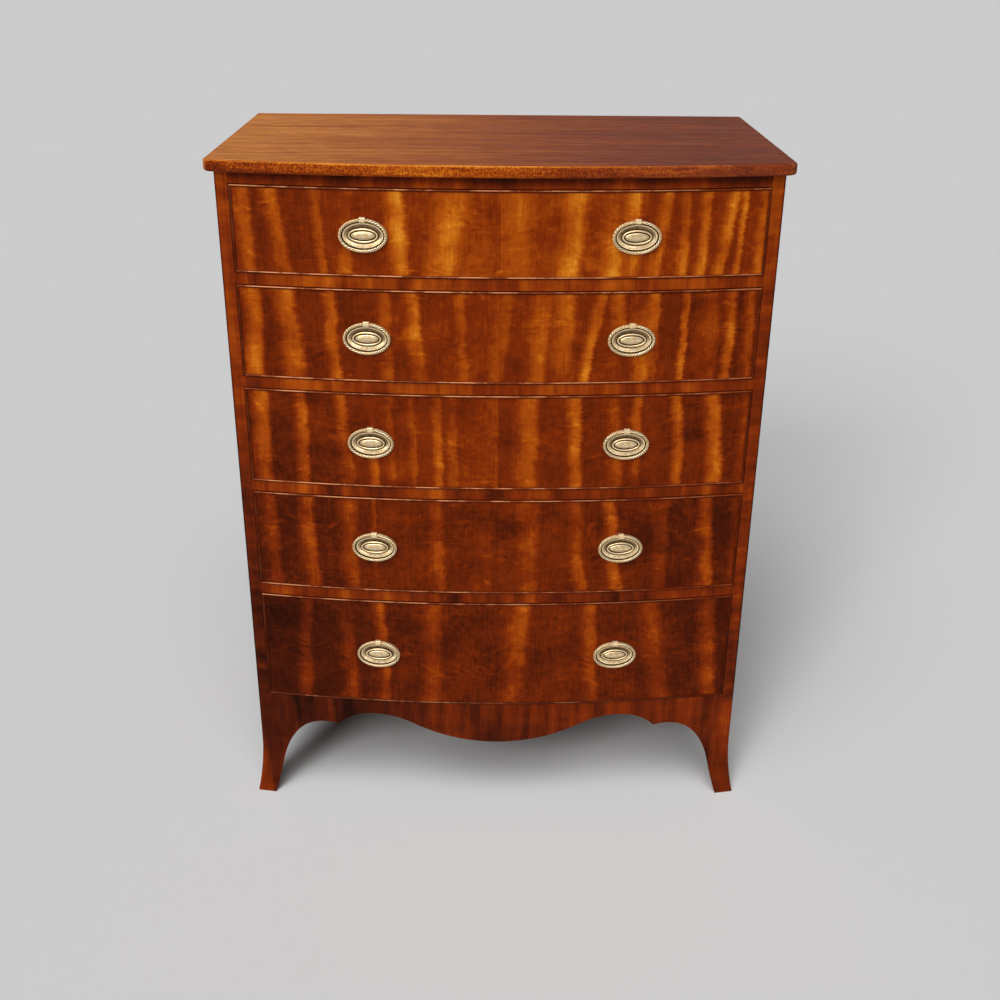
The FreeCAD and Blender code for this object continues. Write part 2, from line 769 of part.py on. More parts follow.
def oval_wire(inset, out, z, a, b):
    """An oval of half-width a and half-height b, drawn in by inset, that far off the drawer front."""
    centre = Vector(0, bow_front_y - out, z)
    ellipse = Part.Ellipse(centre + Vector(a - inset, 0, 0), centre + Vector(0, 0, b - inset), centre)
    return Part.Wire(ellipse.toShape())


def oval_solid(profile, z, a, b):
    """A solid of oval sections, given as (inset, height) from the back to the front."""
    return Part.makeLoft([oval_wire(inset, out, z, a, b) for inset, out in profile], True, True)


def make_plate(z):
    profile = [(inset, out + plate_seat_gap) for inset, out in plate_profile]
    plate = oval_solid(profile, z, ring_a - plate_inset, ring_b - plate_inset)
    bore = Part.makeCylinder(shank_radius + shank_gap, 4 * plate_flange,
                             Vector(0, bow_front_y - 3 * plate_flange, z + pivot_up - shank_below_pivot),
                             Vector(0, 1, 0))
    return plate.cut(bore)


def make_post(z):
    """Lug with its cross bore for the ring, on a shank that passes through the drawer front."""
    half = lug_width / 2
    z1 = z + ring_b + lug_rise
    base = plate_flange + plate_seat_gap
    lug = box(-half, half, bow_front_y - lug_proud, bow_front_y - base, z1 - lug_height, z1)
    nose = edges_where(lug, lambda b: b.YMax < bow_front_y - lug_proud + tiny)
    lug = lug.makeFillet(lug_edge_radius, nose)
    length = base + front_thickness + nut_thickness + shank_past_nut
    shank = Part.makeCylinder(shank_radius, length,
                              Vector(0, bow_front_y - base, z + pivot_up - shank_below_pivot),
                              Vector(0, 1, 0))
    bore = Part.makeCylinder(pintle_radius + pintle_gap, lug_width + 2 * overcut,
                             Vector(-half - overcut, bow_front_y - pivot_out, z + pivot_up),
                             Vector(1, 0, 0))
    return lug.fuse(shank).removeSplitter().cut(bore)


def make_nut(z):
    radius = nut_across_flats / math.sqrt(3)
    y = bow_front_y + front_thickness + shank_gap
    middle = z + pivot_up - shank_below_pivot
    turns = [math.radians(60 * step) for step in range(6)]
    corners = [Vector(radius * math.cos(turn), y, middle + radius * math.sin(turn)) for turn in turns]
    nut = polygon_prism(corners, Vector(0, nut_thickness, 0))
    bore = Part.makeCylinder(shank_radius + pintle_gap, nut_thickness, Vector(0, y, middle),
                             Vector(0, 1, 0))
    return nut.cut(bore)


def make_ring(z):
    """Oval ring with its top cut away for the lug, closed there by a thin pintle."""
    back = pivot_out - ring_thickness / 2
    front = pivot_out + ring_thickness / 2
    outside = oval_solid([(ring_bevel, back), (0, pivot_out), (ring_bevel, front)], z, ring_a, ring_b)
    inner = ring_band - ring_bevel
    inside = oval_solid([(inner, back), (ring_band, pivot_out), (inner, front)], z, ring_a, ring_b)
    gap = lug_width / 2 + lug_side_gap
    notch = box(-gap, gap, bow_front_y - 2 * front, bow_front_y, z, z + 2 * ring_b)
    ring = outside.cut(inside).cut(notch)
    reach = gap + overcut
    pintle = Part.makeCylinder(pintle_radius, 2 * reach,
                               Vector(-reach, bow_front_y - pivot_out, z + pivot_up), Vector(1, 0, 0))
    return ring.fuse(pintle).removeSplitter()


# ---------------------------------------------------------------- assembly

def drawer_nodes(index):
    """Node names and solids of one drawer, numbered from the top."""
    drawer = DrawerSizes(index)
    name = f"drawer_{index + 1}_"
    z = drawer.handle_z
    sides = (-handle_column, handle_column)
    return {
        name + "front": [make_drawer_front(drawer)],
        name + "beading": make_beading(drawer),
        name + "sides": pair(make_drawer_side(drawer)),
        name + "back": [make_drawer_back(drawer)],
        name + "bottom": [make_drawer_bottom(drawer)],
        name + "handle_plates": [about_bow(make_plate(z), x) for x in sides],
        name + "handle_posts": [about_bow(piece, x) for x in sides for piece in (make_post(z), make_nut(z))],
        name + "left_ring": [about_bow(make_ring(z), -handle_column)],
        name + "right_ring": [about_bow(make_ring(z), handle_column)],
    }


def carcass_nodes():
    right_side = make_side()
    front_foot = make_front_foot()
    rear_foot = make_rear_foot()
    return {
        "top_board": [make_top_board()],
        "left_side": [mirrored(right_side)],
        "right_side": [right_side],
        "back_boards": make_back_boards(),
        "top_rails": make_top_rails(),
        "drawer_dividers": make_dividers(),
        "drawer_runners": make_runners(),
        "dust_boards": make_dust_boards(),
        "carcass_bottom": [make_carcass_bottom()],
        "aprons": [make_front_apron()] + pair(make_side_apron()),
        "front_feet": [mirrored(piece) for piece in front_foot] + front_foot,
        "rear_feet": [mirrored(piece) for piece in rear_foot] + rear_foot,
        "glue_blocks": make_glue_blocks(),
        "drawer_stops": make_stops(),
        "top_screws": screw_shapes(0),
    }


def main():
    os.makedirs("parts", exist_ok=True)
    nodes = carcass_nodes()
    for index in range(len(drawer_openings)):
        nodes.update(drawer_nodes(index))
    for name, shapes in nodes.items():
        solids = [solid for shape in shapes for solid in shape.Solids]
        Part.makeCompound(solids).exportStep(f"parts/{name}.step")
        print(name, len(solids), all(solid.isValid() for solid in solids))


main()
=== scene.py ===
import math

import bmesh
import bpy
from mathutils import Matrix, Vector


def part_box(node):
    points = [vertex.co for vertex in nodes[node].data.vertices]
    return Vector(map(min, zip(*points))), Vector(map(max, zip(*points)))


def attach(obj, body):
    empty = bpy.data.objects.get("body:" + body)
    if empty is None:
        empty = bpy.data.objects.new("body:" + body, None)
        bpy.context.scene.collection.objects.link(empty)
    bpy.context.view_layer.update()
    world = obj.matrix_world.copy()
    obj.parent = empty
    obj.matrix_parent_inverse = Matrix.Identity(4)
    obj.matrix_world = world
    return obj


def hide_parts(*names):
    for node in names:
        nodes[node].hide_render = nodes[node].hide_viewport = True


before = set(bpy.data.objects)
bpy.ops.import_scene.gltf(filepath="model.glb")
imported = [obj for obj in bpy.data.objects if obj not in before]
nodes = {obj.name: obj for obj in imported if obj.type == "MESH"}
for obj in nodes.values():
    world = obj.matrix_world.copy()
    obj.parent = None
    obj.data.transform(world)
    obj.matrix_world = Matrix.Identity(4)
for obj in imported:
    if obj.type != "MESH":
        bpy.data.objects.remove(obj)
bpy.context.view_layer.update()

print("frame loaded,", len(nodes), "nodes")

# The front is an arc: half its width, how far its middle comes forward and where its corners are
bow = {"halfWidth": 0.432, "rise": 0.038, "cornerY": -0.215}
bowRadius = (bow["halfWidth"] ** 2 + bow["rise"] ** 2) / (2 * bow["rise"])
bowAxisY = bow["cornerY"] - bow["rise"] + bowRadius


# Colours are written as they look, 0 to 255
def tone(red, green, blue):
    def linear(value):
        value = value / 255
        return value / 12.92 if value <= 0.04045 else ((value + 0.055) / 1.055) ** 2.4

    return (linear(red), linear(green), linear(blue), 1.0)


class Wire:
    def __init__(self, finish, socket):
        self.finish = finish
        self.socket = socket

    def maths(self, operation, *others):
        return self.finish.node("Math", {"operation": operation}, dict(enumerate((self,) + others)))

    def __add__(self, other):
        return self.maths("ADD", other)

    def __mul__(self, other):
        return self.maths("MULTIPLY", other)

    def __sub__(self, other):
        return self.maths("SUBTRACT", other)

    def __truediv__(self, other):
        return self.maths("DIVIDE", other)

    def __rsub__(self, other):
        return self.finish.node("Math", {"operation": "SUBTRACT"}, {0: other, 1: self})

    def __rpow__(self, other):
        return self.finish.node("Math", {"operation": "POWER"}, {0: other, 1: self})

    def __abs__(self):
        return self.maths("ABSOLUTE")

    __radd__ = __add__
    __rmul__ = __mul__

    def clip(self):
        return self.finish.node("Clamp", {}, {"Value": self})

    def ease(self, low, high):  # 0 below low, 1 above high, smooth between
        return self.finish.node("MapRange", {"interpolation_type": "SMOOTHSTEP"},
                                {"Value": self, "From Min": low, "From Max": high})

    def hump(self, centre, width):  # 1 at the centre, fading out over the width
        away = (self - centre) / width
        return 0.368 ** (away * away)

    def band(self, centre, width):  # fades in slowly and ends sooner
        away = (self - centre) / width
        return away.ease(-1.9, 0.1) * (1 - away.ease(0.35, 1.3))

    def axes(self):
        return [self.finish.node("SeparateXYZ", {}, {"Vector": self}, axis) for axis in "XYZ"]


class Finish:
    def __init__(self, name, owner=None):
        self.material = owner or bpy.data.materials.new(name)
        self.material.use_nodes = True
        self.tree = self.material.node_tree
        self.tree.nodes.clear()
        self.place = self.node("TexCoord", {}, {}, "Generated" if owner else "Object")

    def node(self, kind, settings, sockets, out=0):
        made = self.tree.nodes.new("ShaderNode" + kind)
        for key, value in settings.items():
            if key == "stops":
                ramp = made.color_ramp
                while len(ramp.elements) < len(value):
                    ramp.elements.new(0.5)
                for element, (position, colour) in zip(ramp.elements, value):
                    element.position = position
                    element.color = colour
            else:
                setattr(made, key, value)
        for key, value in sockets.items():
            if isinstance(value, Wire):
                self.tree.links.new(value.socket, made.inputs[key])
            else:
                made.inputs[key].default_value = value
        return None if out is None else Wire(self, made.outputs[out])

    def noise(self, stretch, shift=0.0, detail=2.0, rough=0.5, place=None):
        where = self.node("VectorMath", {"operation": "MULTIPLY_ADD"},
                          {0: place or self.place, 1: stretch, 2: (shift, shift * 1.7, shift * 0.6)})
        return self.node("TexNoise", {}, {"Vector": where, "Scale": 1.0, "Detail": detail,
                                          "Roughness": rough})

    def grain(self, stretch, shift=0.0, detail=2.0, rough=0.5, place=None):  # the same, about 0
        return self.noise(stretch, shift, detail, rough, place) - 0.5

    def reach(self, x, y):  # distance from the axis that the front curves round
        flat = self.node("CombineXYZ", {}, {"X": x, "Y": y - bowAxisY, "Z": 0.0})
        return self.node("VectorMath", {"operation": "LENGTH"}, {0: flat}, "Value")

    def ramp(self, value, stops):
        return self.node("ValToRGB", {"stops": stops}, {"Fac": value})

    def blend(self, factor, first, second):
        return self.node("Mix", {"data_type": "RGBA"}, {0: factor, 6: first, 7: second}, 2)

    def surface(self, sockets, height=None, depth=0.0003, strength=0.5):
        if height is not None:
            sockets["Normal"] = self.node("Bump", {}, {"Strength": strength, "Distance": depth,
                                                       "Height": height})
        shader = self.node("BsdfPrincipled", {}, sockets)
        self.node("OutputMaterial", {}, {"Surface": shader}, None)
        return self.material


def bridge(mesh, first, second):
    count = len(first)
    for k in range(count):
        mesh.faces.new((first[k], first[(k + 1) % count], second[(k + 1) % count], second[k]))


def meshFrom(made, name, marks=None):
    bmesh.ops.recalc_face_normals(made, faces=made.faces)
    mesh = bpy.data.meshes.new(name)
    made.to_mesh(mesh)
    made.free()
    mesh.polygons.foreach_set("use_smooth", [True] * len(mesh.polygons))
    if marks is not None:
        layer = mesh.attributes.new("mark", "FLOAT", "POINT")
        layer.data.foreach_set("value", marks)
    return mesh


def dress(material, *names):
    for name in names:
        nodes[name].data.materials.clear()
        nodes[name].data.materials.append(material)


polish = {
    "patches": 30,           # patches of wear per metre
    "wear": 0.14,            # how much the gloss differs between them
    "relief": 0.0002,        # depth of the pores
    "pores": 0.7,            # how far the pores of solid wood, those of veneer and the fine grain show
    "veneerPores": 0.6,
    "grain": 0.3,
}


def paintWood(finish, value, height, look, colour=None):
    colour = colour or finish.ramp(value, look["tones"])
    wear = finish.noise((polish["patches"],) * 3, 3.0) * polish["wear"]
    return finish.surface({"Base Color": colour,
                           "Roughness": wear + (look["gloss"] - polish["wear"] / 2),
                           "Specular IOR Level": look["specular"]}, height, polish["relief"])


mahoganyTones = ((0.0, tone(38, 9, 2)), (0.22, tone(80, 25, 4)), (0.45, tone(130, 45, 5)),
                 (0.68, tone(176, 79, 10)), (0.86, tone(210, 118, 22)), (1.0, tone(232, 150, 44)))
# Mahogany tones greyed by a painted sheen, used on the top face of the top board
sheenedTones = ((0.0, tone(48, 22, 16)), (0.22, tone(90, 43, 28)), (0.45, tone(129, 61, 36)),
              (0.68, tone(174, 95, 43)), (0.86, tone(214, 136, 62)), (1.0, tone(236, 166, 88)))

flameLook = {
    "tones": mahoganyTones,
    "gloss": 0.4,
    "specular": 0.04,
    "stripes": 0.42,         # how strong the stripes are
    "wander": 0.008,         # how far a stripe strays sideways
    "bend": 0.01,
    "feather": 0.007,        # length of the feathering at its edges
    "clouds": 0.42,          # strength of each kind of figure between the stripes
    "specks": 0.28,
    "fine": 0.25,
    "streaks": 0.1,          # of the cross streaks, and how much more where they gather
    "gathered": 0.3,
    "flecks": 0.2,
    "pores": 0.05,
    "ends": 0.12,            # painted shade: how much darker the two ends are, next to the beads
    "seam": 0.03,            # darkness of the line between the two leaves of veneer
    "veneer": 0.0012,        # its thickness
    "core": 0.22,            # tone of the solid wood behind it
}
# The stripes of each drawer front: place at its foot, place at its head, width, strength below, above
flameStripes = {
    1: ((-0.386, -0.389, 0.013, 0.85, 0.8), (-0.33, -0.346, 0.013, 0.5, 0.8),
        (-0.27, -0.277, 0.007, 0.45, 0.35), (-0.235, -0.23, 0.012, 0.55, 0.1),
        (-0.147, -0.158, 0.013, 0.75, 0.95), (-0.088, -0.066, 0.024, 0.8, 0.8),
        (-0.03, -0.032, 0.02, 0.3, 0.3), (0.025, 0.02, 0.026, 0.28, 0.36),
        (0.107, 0.115, 0.017, 0.95, 0.75),
        (0.172, 0.16, 0.015, 1.0, 0.0), (0.2, 0.201, 0.012, 0.4, 0.95),
        (0.237, 0.252, 0.01, 0.55, 0.8), (0.283, 0.279, 0.008, 0.8, 0.45),
        (0.309, 0.312, 0.008, 0.75, 0.7), (0.338, 0.357, 0.009, 0.9, 0.75),
        (0.368, 0.372, 0.005, 0.8, 0.7), (0.403, 0.4, 0.008, 0.75, 0.3)),
    2: ((-0.389, -0.386, 0.015, 1.0, 0.85), (-0.32, -0.338, 0.017, 0.85, 0.75),
        (-0.261, -0.266, 0.01, 0.75, 0.75), (-0.176, -0.182, 0.01, 0.5, 0.45),
        (-0.122, -0.141, 0.012, 0.35, 0.9), (-0.052, -0.06, 0.008, 0.35, 0.5),
        (-0.004, 0.012, 0.012, 0.45, 0.3), (0.06, 0.067, 0.013, 0.65, 0.4),
        (0.098, 0.102, 0.018, 0.1, 1.0), (0.133, 0.161, 0.009, 1.0, 0.65),
        (0.186, 0.187, 0.012, 0.1, 0.65), (0.225, 0.225, 0.014, 0.9, 0.05),
        (0.244, 0.242, 0.008, 0.2, 0.8), (0.29, 0.291, 0.006, 0.85, 0.8),
        (0.33, 0.33, 0.018, 0.15, 0.65), (0.361, 0.366, 0.009, 0.9, 0.85),
        (0.394, 0.396, 0.008, 0.35, 0.75)),
    3: ((-0.388, -0.384, 0.014, 0.8, 0.95), (-0.322, -0.319, 0.01, 0.75, 0.85),
        (-0.245, -0.257, 0.01, 0.35, 0.8), (-0.205, -0.207, 0.007, 0.75, 0.0),
        (-0.176, -0.176, 0.008, 0.2, 0.4), (-0.138, -0.141, 0.006, 0.35, 0.35),
        (-0.098, -0.1, 0.008, 0.6, 0.5), (-0.072, -0.074, 0.008, 0.3, 0.3),
        (0.05, 0.05, 0.017, 0.6, 0.6), (0.127, 0.127, 0.011, 0.95, 1.0),
        (0.196, 0.186, 0.012, 0.7, 0.3), (0.226, 0.227, 0.008, 0.35, 0.85),
        (0.297, 0.289, 0.009, 0.75, 0.85), (0.359, 0.347, 0.014, 0.95, 1.0),
        (0.402, 0.402, 0.008, 0.4, 0.35)),
    4: ((-0.38, -0.384, 0.012, 0.55, 0.45), (-0.315, -0.321, 0.013, 0.7, 1.0),
        (-0.25, -0.248, 0.013, 0.55, 0.55), (-0.207, -0.207, 0.004, 0.0, 0.6),
        (-0.1, -0.103, 0.012, 0.65, 0.5), (-0.02, -0.02, 0.01, 0.2, 0.25),
        (0.05, 0.052, 0.018, 0.45, 0.6), (0.142, 0.129, 0.011, 0.65, 0.6),
        (0.205, 0.184, 0.011, 0.7, 1.0), (0.275, 0.277, 0.013, 0.45, 0.5),
        (0.362, 0.353, 0.012, 0.9, 0.9), (0.403, 0.405, 0.008, 0.35, 0.4)),
    5: ((-0.341, -0.33, 0.012, 0.6, 0.45), (-0.255, -0.262, 0.012, 0.9, 0.1),
        (-0.196, -0.204, 0.009, 0.6, 0.85), (-0.116, -0.108, 0.015, 0.45, 0.7),
        (0.028, 0.042, 0.019, 0.5, 0.8), (0.17, 0.159, 0.012, 0.5, 0.9),
        (0.297, 0.264, 0.017, 0.55, 0.55), (0.384, 0.366, 0.016, 0.95, 0.75)),
}
# Tone between the stripes, which falls drawer by drawer down the chest as painted shade from light above,
# how much paler it is at the right end, painted light, how strong the stripes are, and how much paler the
# right leaf of the veneer is than the left where they meet
flameGround = {
    1: (0.425, 0.06, 1.0, 0.06), 2: (0.385, 0.0, 1.08, -0.06), 3: (0.36, 0.0, 1.0, -0.14),
    4: (0.308, -0.02, 0.88, 0.0), 5: (0.23, 0.07, 0.84, 0.0),
}


def flameVeneer(number):
    look = flameLook
    finish = Finish(f"flameVeneer{number}")
    low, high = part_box(f"drawer_{number}_front")
    ground, lean, strength, step = flameGround[number]
    x, y, z = finish.place.axes()
    shift = number * 7.3
    rise = (z - low.z) / (high.z - low.z)
    wander = finish.grain((5, 0, 8), shift)
    bend = finish.grain((16, 0, 26), shift + 2)
    bowed = finish.node("CombineXYZ", {}, {"X": x, "Y": 0.0, "Z": z + wander * 0.12 + bend * 0.03})
    feather = finish.grain((26, 0, 210), shift + 4, 4.0, 0.65, bowed)
    across = x + wander * (look["wander"] * 2) + bend * look["bend"] + feather * (look["feather"] * 2)
    light = 0.0
    for foot, head, width, below, above in flameStripes[number]:
        centre = rise * (head - foot) + foot
        light = across.band(centre, width) * (rise * (above - below) + below) + light
    clouds = finish.noise((13, 0, 18), shift + 6, 3.0, 0.6)
    specks = finish.grain((110, 0, 90), shift + 8, 3.0, 0.7)
    gathered = finish.noise((9, 0, 16), shift + 10).ease(0.46, 0.62)
    streaks = finish.grain((48, 0, 210), shift + 12, 3.0, 0.6, bowed)
    streaks = streaks * (gathered * look["gathered"] + look["streaks"])
    fine = finish.grain((300, 0, 22), shift + 14, 3.0, 0.7)
    light = light * (clouds * 1.1 + 0.42) * (look["stripes"] * strength)
    value = light + streaks + specks * look["specks"] + fine * look["fine"]
    value = value + (clouds - 0.5) * look["clouds"]
    flecks = finish.noise((26, 0, 60), shift + 20, 3.0, 0.6, bowed).ease(0.58, 0.8) * look["flecks"]
    value = value + flecks * (1.3 - light).clip()
    # Painted shade: darker towards both ends, next to the beads; painted light: paler towards the right
    # end
    ends = abs(x).ease(0.08, 0.43) * look["ends"] - look["ends"] / 4
    value = (value + ground + x.ease(-0.43, 0.43) * lean - ends).clip()
    leaf = (x.ease(-0.0004, 0.0004) - 0.5) * (1 - abs(x).ease(0.0, 0.07)) * step
    seam = x.hump(0.0, 0.001) * look["seam"] - leaf
    pores = finish.noise((1400, 40, 60), shift + 16, 1.0).ease(0.6, 0.75)
    value = value - seam - pores * look["pores"]
    core = finish.noise((9, 220, 220), shift + 18, 3.0) * 0.3 + look["core"]
    shown = finish.reach(x, y).ease(bowRadius - look["veneer"] * 1.5, bowRadius - look["veneer"])
    value = core + (value - core) * shown
    return paintWood(finish, value, pores * -polish["veneerPores"] + fine * polish["grain"], look)


for number in flameStripes:
    dress(flameVeneer(number), f"drawer_{number}_front")
print("drawer fronts veneered")


topLook = {
    "gloss": 0.55,
    "specular": 0.06,
    "left": 0.8,             # tone at the left end, paler with a painted sheen, and at the right end
    "right": 0.38,
    "long": 0.55,            # strength of each kind of figure
    "fine": 0.55,
    "streak": 0.5,
    "ribbon": 0.16,
    "pores": 0.12,
    "speck": 1.7,            # of the specks on the front edge, and what is left of them at the right
    "calmSpeck": 0.7,
    "edgeLeft": 0.46,        # how much darker that edge is at the left end
    "arrisHighlight": 0.3,            # how much paler its rounded arris is, a painted highlight
    "ends": 0.14,            # how much darker the ends of the board are
    "halfWidth": 0.447,
    "overhang": 0.015,
    "top": 1.158,
}


def topMahogany():
    look = topLook
    finish = Finish("topMahogany")
    x, y, z = finish.place.axes()
    long = finish.grain((2.2, 40, 40), 1.0, 4.0, 0.6)
    fine = finish.grain((26, 230, 230), 4.0, 3.0, 0.7)
    streak = finish.grain((7, 105, 105), 19.0, 3.0, 0.7)
    ribbon = finish.grain((5, 9, 9), 9.0)
    pores = finish.noise((60, 1100, 1100), 12.0, 1.0).ease(0.58, 0.72)
    # Painted sheen, strongest at the left end and falling off to the right
    sheenFalls = (x + ribbon * 0.2).ease(-0.46, 0.41)
    value = sheenFalls * (look["right"] - look["left"]) + look["left"]
    value = value + long * look["long"] + fine * look["fine"] + streak * look["streak"]
    value = value + ribbon * look["ribbon"] - pores * look["pores"]

    reach = finish.reach(x, y)
    frontEdge = bowRadius + look["overhang"]
    face = reach.ease(frontEdge - 0.0045, frontEdge - 0.001)
    # Painted highlight along the rounded front arris, weaker to the right
    arrisHighlight = face * (1 - reach.ease(frontEdge - 0.0012, frontEdge))
    arrisHighlight = arrisHighlight * z.ease(look["top"] - 0.004, look["top"] - 0.001)
    calm = x.ease(-0.05, 0.4)
    speck = finish.grain((420, 420, 300), 15.0, 3.0, 0.8)
    edge = speck * (look["speck"] - calm * (look["speck"] - look["calmSpeck"]))
    edge = edge - (1 - x.ease(-0.45, 0.0)) * look["edgeLeft"] + calm * 0.02 + 0.1
    value = value + face * edge + arrisHighlight * (1 - calm * 0.7) * look["arrisHighlight"]
    ends = abs(x).ease(look["halfWidth"] - 0.0018, look["halfWidth"] - 0.0004) * (1 - face)
    value = (value - ends * look["ends"]).clip()
    # The front edge keeps the plain tones; the top face takes the tones with the painted sheen
    unsheened = face * (1 - calm * 0.55)
    colour = finish.blend(unsheened, finish.ramp(value, sheenedTones), finish.ramp(value, mahoganyTones))
    return paintWood(finish, value, pores * -polish["pores"] + fine * polish["grain"], look, colour)


dress(topMahogany(), "top_board")

sideLook = {
    "tones": mahoganyTones,
    "gloss": 0.42,
    "specular": 0.05,
    "lightAbove": 0.23,            # painted light: how much lighter the sides are above than below
    "long": 0.42,            # strength of each kind of figure
    "fine": 0.18,
    "ripple": 0.05,
    "patch": 0.26,
    "pores": 0.06,
    "facing": 0.65,          # of the figure on the narrow front edge
    "corner": 0.3,           # painted shade: how much darker its outer corner is
    "foot": 0.06,            # how much paler it is at the foot
    "lean": 0.14,            # and how much paler low down on the right side than on the left, painted shade on the left
}


def sideMahogany(name, shift, ground):
    look = sideLook
    finish = Finish(name)
    x, y, z = finish.place.axes()
    long = finish.grain((40, 40, 2.0), shift, 4.0, 0.6)
    fine = finish.grain((260, 260, 12), shift + 3, 3.0, 0.6)
    ripple = finish.grain((9, 9, 60), shift + 5)
    patch = finish.grain((10, 10, 5), shift + 7)
    pores = finish.noise((1100, 1100, 50), shift + 9, 1.0).ease(0.58, 0.72)
    front = finish.reach(x, y).ease(bowRadius - 0.0018, bowRadius - 0.0012)
    facing = finish.grain((14, 0, 44), shift + 13, 3.0, 0.6)
    foot = (1 - z.ease(0.14, 0.3)) * look["foot"]
    foot = foot + (x.ease(-0.45, 0.45) - 0.5) * (1 - z.ease(0.35, 0.6)) * look["lean"]
    corner = abs(x).ease(bow["halfWidth"] - 0.0035, bow["halfWidth"] - 0.0005)
    # The front edge: painted light, lighter higher up, and painted shade at its outer corner
    edge = facing * look["facing"] + (z - 0.6) * 0.06 + foot - corner * look["corner"] - 0.03
    value = long * look["long"] + fine * look["fine"] + ripple * look["ripple"]
    value = value + patch * look["patch"] - pores * look["pores"] + front * edge
    # Painted light from above
    value = value + z.ease(0.1, 1.1) * look["lightAbove"] + (ground - look["lightAbove"] / 2)
    return paintWood(finish, value.clip(), pores * -polish["pores"] + fine * polish["grain"], look)


dress(sideMahogany("leftMahogany", 2.0, 0.395), "left_side")
dress(sideMahogany("rightMahogany", 21.0, 0.4), "right_side")
dress(sideMahogany("footMahogany", 33.0, 0.38), "rear_feet")

bandLook = {
    "tones": mahoganyTones,
    "gloss": 0.4,
    "specular": 0.05,
    "narrow": 0.5,           # strength of the narrow figure beside the wide one
    "mottle": 0.2,
    "fine": 0.16,
    "pores": 0.05,
    "bends": -0.212,         # where a foot turns the corner, along Y
    "bent": -0.185,
    "railFoot": 1.117,       # the rail under the top: where the painted shadow of the top's overhang begins, and where it is full
    "railHead": 1.135,
}
# Cross-banded parts: start of their noise, tone, strength of the figure, how much paler they are to the
# right and how much paler above, both painted light, and how much darker right under the top, a painted
# shadow
crossBands = {
    "railVeneer": (5.0, 0.34, 0.8, -0.05, 0.17, 0.22),
    "apronVeneer": (15.0, 0.27, 0.75, 0.27, 0.0, 0.0),
    "footVeneer": (25.0, 0.275, 0.85, 0.26, 0.0, 0.0),
}


def crossBand(name):
    look = bandLook
    shift, ground, swing, right, above, shadowUnderTop = crossBands[name]
    finish = Finish(name)
    x, y, z = finish.place.axes()
    stripe = finish.grain((26, 0, 3), shift)
    narrow = finish.grain((80, 0, 12), shift + 3, 3.0)
    mottle = finish.grain((26, 0, 60), shift + 6, 3.0)
    fine = finish.grain((380, 0, 26), shift + 9)
    pores = finish.noise((1200, 40, 60), shift + 12, 1.0).ease(0.6, 0.75)
    value = stripe * swing + narrow * (swing * look["narrow"]) + mottle * look["mottle"]
    value = value + fine * look["fine"] - pores * look["pores"]
    # Painted light and shade: paler to the right, the other way round near the floor, less on the sides of
    # the feet, and paler higher up
    sideLight = (x.ease(-0.45, 0.45) - 0.5) * (z.ease(0.05, 0.16) * 1.8 - 0.8)
    sideLight = sideLight * (1 - y.ease(look["bends"], look["bent"]) * 0.85)
    value = value + sideLight * right + z.ease(0.2, 1.1) * above + ground
    # Painted shadow under the top's overhang
    value = value - z.ease(look["railFoot"], look["railHead"]) * shadowUnderTop
    return paintWood(finish, value.clip(), pores * -polish["veneerPores"] + fine * polish["grain"], look)


dress(crossBand("railVeneer"), "top_rails", "drawer_dividers")
dress(crossBand("apronVeneer"), "aprons")
dress(crossBand("footVeneer"), "front_feet")

beadLook = {
    "tones": mahoganyTones,
    "gloss": 0.4,
    "specular": 0.04,
    "highlight": tone(255, 172, 114),   # a painted highlight along the upper side of the nose
    "highlightAt": 0.5,          # where that is round the nose, and how wide, radians
    "highlightWide": 0.33,
    "upright": 0.05,         # how much of the painted highlight the upright strips get
    "ground": 0.12,          # tone of the strips away from the painted highlight, and how much paler they are higher up, painted light
    "above": 0.13,
    "coat": 0.12,            # clear coat where the highlight is painted
    "coatRough": 0.15,
    "width": 0.0042,
    "depth": 0.0097,         # how far the strip reaches into its rebate
    "noseSteps": 12,
    "rimSteps": 36,
    "sharp": 50,             # edges beyond this many degrees stay sharp
}


def beadMahogany():
    look = beadLook
    finish = Finish("beadMahogany")
    highlight = finish.node("Attribute", {"attribute_name": "mark"}, {}, "Fac")
    long = finish.grain((40, 200, 90), 2.0, 3.0)
    x, _, z = finish.place.axes()
    # Where the painted highlight shows along the strips, in patches, less on the lowest drawer
    worn = finish.noise((21, 21, 24), 6.0, 4.0, 0.7) - (1 - z.ease(0.12, 0.3)) * 0.09
    worn = worn.ease(0.42, 0.6)
    value = (long * 0.3 + highlight * 0.15 + z.ease(0.1, 0.6) * look["above"] + look["ground"]).clip()
    kept = x.ease(-0.05, 0.35) * (0.9 - z.ease(0.2, 1.1) * 0.4)   # the painted highlight fades to the right
    high = z.ease(0.1, 0.35) * 0.4 + z.ease(0.2, 1.0) * 0.3 + 0.3   # and is stronger higher up
    highlightShown = (highlight * (worn * 0.9 + 0.1) * high * (1 - kept)).clip()
    colour = finish.blend(highlightShown, finish.ramp(value, look["tones"]), look["highlight"])
    return finish.surface({"Base Color": colour, "Roughness": long * 0.2 + look["gloss"],
                           "Specular IOR Level": look["specular"], "Coat Weight": highlightShown * look["coat"],
                           "Coat Roughness": look["coatRough"]}, long, polish["relief"])


